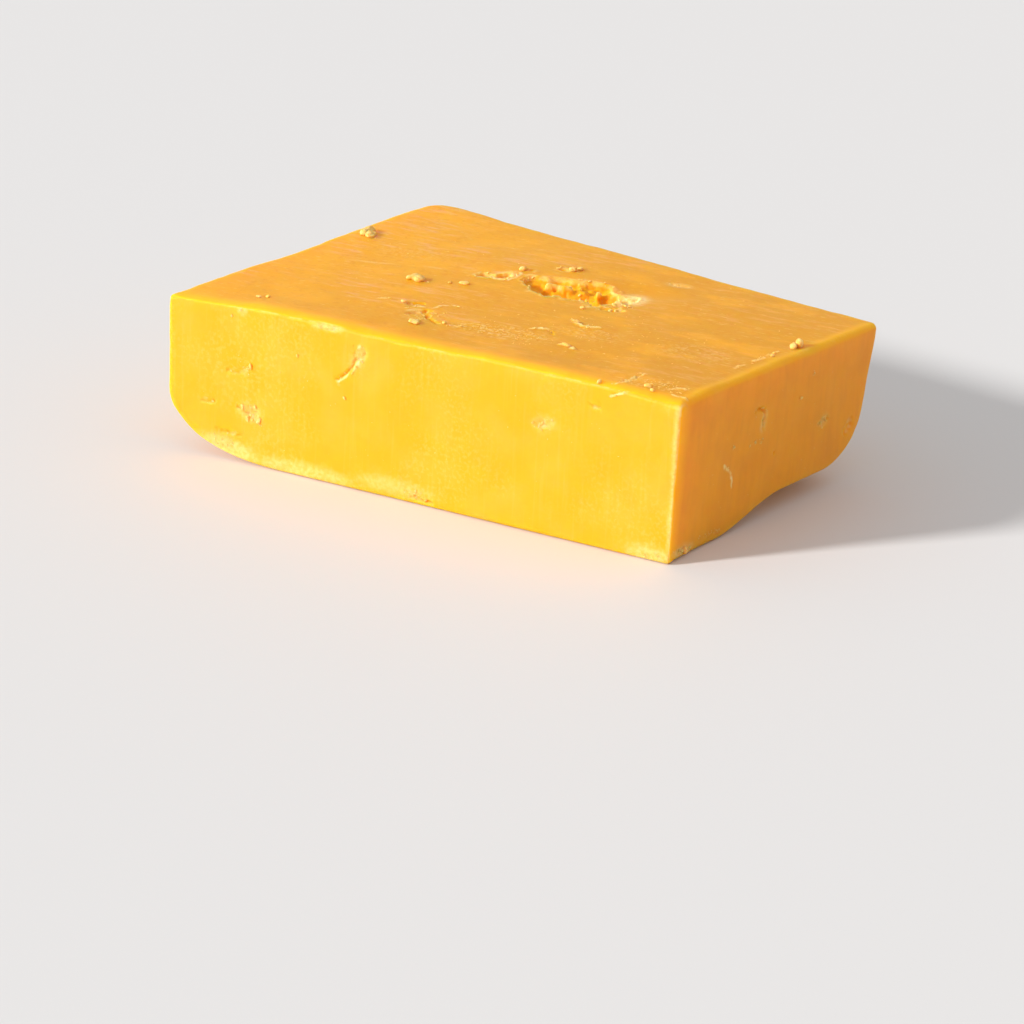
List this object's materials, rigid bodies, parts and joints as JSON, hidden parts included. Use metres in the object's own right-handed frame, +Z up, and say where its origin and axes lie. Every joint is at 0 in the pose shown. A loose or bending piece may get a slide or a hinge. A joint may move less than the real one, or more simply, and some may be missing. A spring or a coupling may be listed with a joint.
{
  "type": "block of cheese",
  "caption": "Hand-cut block of orange cheddar with crisp cut edges in front, slumped rounded edges on the old outside, and a small crumbled hollow in its top.",
  "frame": {"origin": "middle of the block's outline in plan, at the level of the flat underside that it rests on", "axes": "+X along the long front cut from its rounded end to its crisp end, +Y from the front cut to the back, +Z up"},
  "size_m": [0.139, 0.1088, 0.038],
  "materials": {
    "cheddar": "matte, slightly waxy orange cheese"
  },
  "bodies": {
    "root": {"cheddar_block": "cheddar"}
  },
  "joints": []
}
